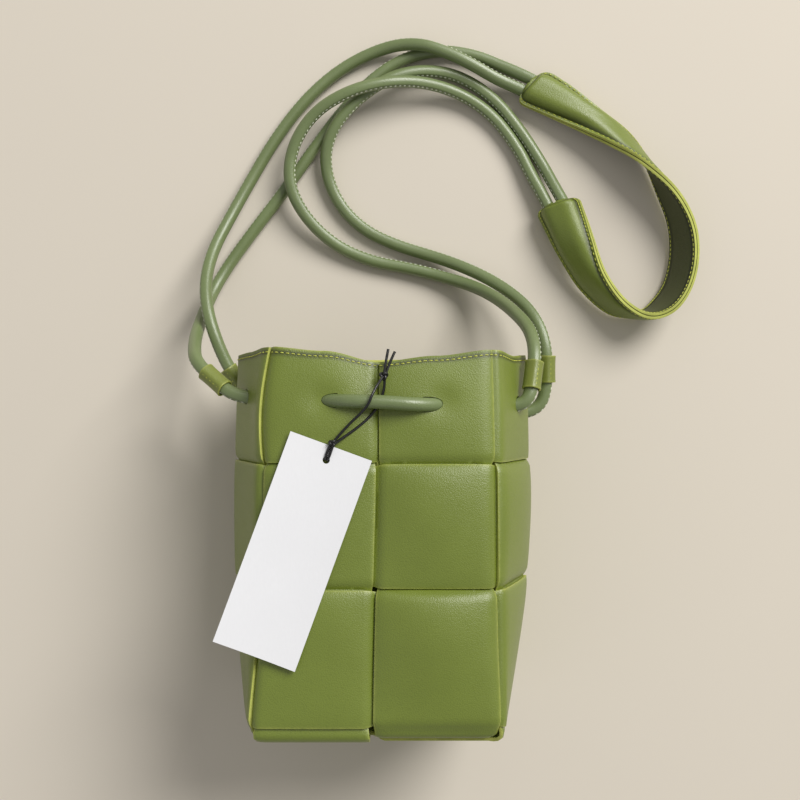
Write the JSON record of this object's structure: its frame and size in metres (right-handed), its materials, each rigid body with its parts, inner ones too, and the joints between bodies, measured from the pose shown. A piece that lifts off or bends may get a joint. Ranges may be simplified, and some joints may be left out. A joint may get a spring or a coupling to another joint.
{
  "type": "drawstring bucket bag",
  "caption": "Woven leather-look bucket bag, lying on its back, with a drawn cord strap, four cord sleeves, a padded shoulder piece and a paper tag on a string.",
  "frame": {"origin": "middle of the back face, on the surface the bag lies on, halfway between base and rim", "axes": "+Z out of the front face (up as it lies), +Y towards the mouth, +X to the right seen from the front"},
  "size_m": [0.293, 0.383, 0.1157],
  "materials": {
    "leather": "soft sheen, fine grain",
    "facing": "matt",
    "thread": "matt",
    "cord": "soft sheen",
    "sleeve": "soft sheen",
    "card": "matt",
    "string": "waxed"
  },
  "bodies": {
    "bag": {"warp_strip_left": "leather", "warp_strip_right": "leather", "cross_strip_front": "leather", "cross_strip_rear": "leather", "band_upper": "leather", "band_middle": "leather", "band_lower": "leather", "mouth_facing": "facing", "rim_stitching": "thread", "front_cord": "cord", "rear_cord": "cord", "pad_outer": "leather", "pad_inner": "facing"},
    "sleeve_front_left": {"cord_sleeve_front_left": "sleeve"},
    "sleeve_front_right": {"cord_sleeve_front_right": "sleeve"},
    "sleeve_rear_left": {"cord_sleeve_rear_left": "sleeve"},
    "sleeve_rear_right": {"cord_sleeve_rear_right": "sleeve"},
    "tag_string": {"tag_loop": "string", "tag_knot": "string"},
    "tag": {"hang_tag": "card", "tag_hitch": "string"}
  },
  "joints": [
    {"name": "sleeve_front_left_slide", "type": "slide", "parent": "bag", "child": "sleeve_front_left", "axis": [-0.7301, 0.6112, -0.3056], "range_m": [-0.003, 0.004]},
    {"name": "sleeve_front_right_slide", "type": "slide", "parent": "bag", "child": "sleeve_front_right", "axis": [0.1439, 0.9592, -0.2435], "range_m": [-0.0015, 0.002]},
    {"name": "sleeve_rear_left_slide", "type": "slide", "parent": "bag", "child": "sleeve_rear_left", "axis": [-0.5493, 0.8239, 0.1394], "range_m": [-0.002, 0.002]},
    {"name": "sleeve_rear_right_slide", "type": "slide", "parent": "bag", "child": "sleeve_rear_right", "axis": [0, 0.9991, 0.0416], "range_m": [-0.002, 0.003]},
    {"name": "tag_slide", "type": "slide", "parent": "bag", "child": "tag_string", "axis": [0.9988, -0.0487, 0], "range_m": [-0.005, 0.006]},
    {"name": "tag_lift", "type": "hinge", "parent": "tag_string", "child": "tag", "pos_m": [-0.0243, 0.0506, 0.1088], "axis": [-0.9392, 0.3431, -0.014], "range_deg": [0, 110]}
  ]
}
